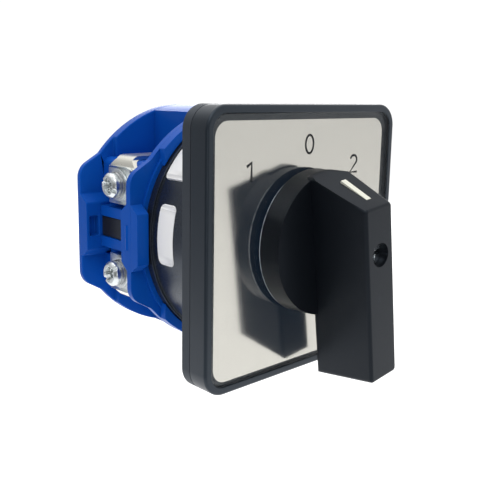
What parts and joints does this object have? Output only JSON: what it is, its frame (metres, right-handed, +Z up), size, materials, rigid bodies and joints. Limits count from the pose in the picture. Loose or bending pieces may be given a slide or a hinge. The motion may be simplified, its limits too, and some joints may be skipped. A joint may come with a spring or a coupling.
{
  "type": "rotary cam switch",
  "caption": "Panel mounted rotary cam switch: square front plate with a bar handle, round detent drum and one blue contact deck with screw terminals.",
  "frame": {"origin": "centre of the mounting face, the rear of the base plate, on the shaft axis", "axes": "+X to the right seen from the front, +Y to the back along the shaft, +Z up"},
  "size_m": [0.0666, 0.0739, 0.064],
  "materials": {
    "bezel_plastic": "fine satin charcoal",
    "base_plastic": "satin dark grey",
    "window_clear": "clear cover sheet, glossy",
    "card_silver": "fine vertical brush, silver",
    "handle_plastic": "charcoal, fine texture",
    "pointer_white": "off-white",
    "zinc_steel": "bright zinc plate",
    "shaft_steel": "drawn steel",
    "drum_plastic": "satin near black",
    "inner_nylon": "natural nylon",
    "cam_plastic": "moulded thermoset",
    "spring_steel": "spring wire",
    "blue_plastic": "royal blue, satin gloss",
    "terminal_metal": "nickel plated brass",
    "contact_silver": "silver alloy",
    "label_white": "bare white sticker",
    "marker_plastic": "black strip, bare"
  },
  "bodies": {
    "housing": {"adapter_plate": "blue_plastic", "base_plate": "base_plastic", "base_screws": "zinc_steel", "bezel_frame": "bezel_plastic", "contact_spring_lower": "spring_steel", "contact_spring_upper": "spring_steel", "deck_housing": "blue_plastic", "detent_spring_lower": "spring_steel", "detent_spring_upper": "spring_steel", "drum_housing": "drum_plastic", "drum_label_lower": "label_white", "drum_label_upper": "label_white", "fixed_contact_tips": "contact_silver", "flat_washers": "zinc_steel", "legend_card": "card_silver", "marker_strip_left": "marker_plastic", "marker_strip_right": "marker_plastic", "plate_window": "window_clear", "rear_cover": "blue_plastic", "spring_washers": "spring_steel", "terminal_lower_left": "terminal_metal", "terminal_lower_right": "terminal_metal", "terminal_screw_lower_left": "zinc_steel", "terminal_screw_lower_right": "zinc_steel", "terminal_screw_upper_left": "zinc_steel", "terminal_screw_upper_right": "zinc_steel", "terminal_upper_left": "terminal_metal", "terminal_upper_right": "terminal_metal", "tie_bolts": "zinc_steel", "tie_nuts": "zinc_steel", "wire_clamps": "zinc_steel"},
    "rotor": {"handle_knob": "handle_plastic", "pointer_inlay": "pointer_white", "handle_screw": "zinc_steel", "shaft": "shaft_steel", "stop_plate": "shaft_steel", "star_wheel": "inner_nylon", "contact_cam": "cam_plastic"},
    "upper_carriage": {"plunger_upper": "inner_nylon", "contact_bridge_upper": "terminal_metal", "bridge_tips_upper": "contact_silver"},
    "lower_carriage": {"plunger_lower": "inner_nylon", "contact_bridge_lower": "terminal_metal", "bridge_tips_lower": "contact_silver"},
    "pawl_upper": {"detent_pawl_upper": "inner_nylon"},
    "pawl_lower": {"detent_pawl_lower": "inner_nylon"}
  },
  "joints": [
    {"name": "handle_turn", "type": "hinge", "parent": "housing", "child": "rotor", "pos_m": [0, 0, 0], "axis": [0, -1, 0], "range_deg": [-52.5, 37.5]},
    {"name": "upper_contact_slide", "type": "slide", "parent": "housing", "child": "upper_carriage", "axis": [0, 0, 1], "range_m": [-0.00134, 0.00187], "deforming": ["contact_spring_upper"]},
    {"name": "lower_contact_slide", "type": "slide", "parent": "housing", "child": "lower_carriage", "axis": [0, 0, 1], "range_m": [-0.00134, 0.00187], "deforming": ["contact_spring_lower"]},
    {"name": "upper_pawl_slide", "type": "slide", "parent": "housing", "child": "pawl_upper", "axis": [0, 0, -1], "range_m": [0, 0.001], "deforming": ["detent_spring_upper"]},
    {"name": "lower_pawl_slide", "type": "slide", "parent": "housing", "child": "pawl_lower", "axis": [0, 0, 1], "range_m": [0, 0.001], "deforming": ["detent_spring_lower"]}
  ],
  "couplings": [
    {"joint": "upper_contact_slide", "follows": "handle_turn", "m_per_rad": -0.0020372},
    {"joint": "lower_contact_slide", "follows": "handle_turn", "m_per_rad": -0.0020372}
  ]
}
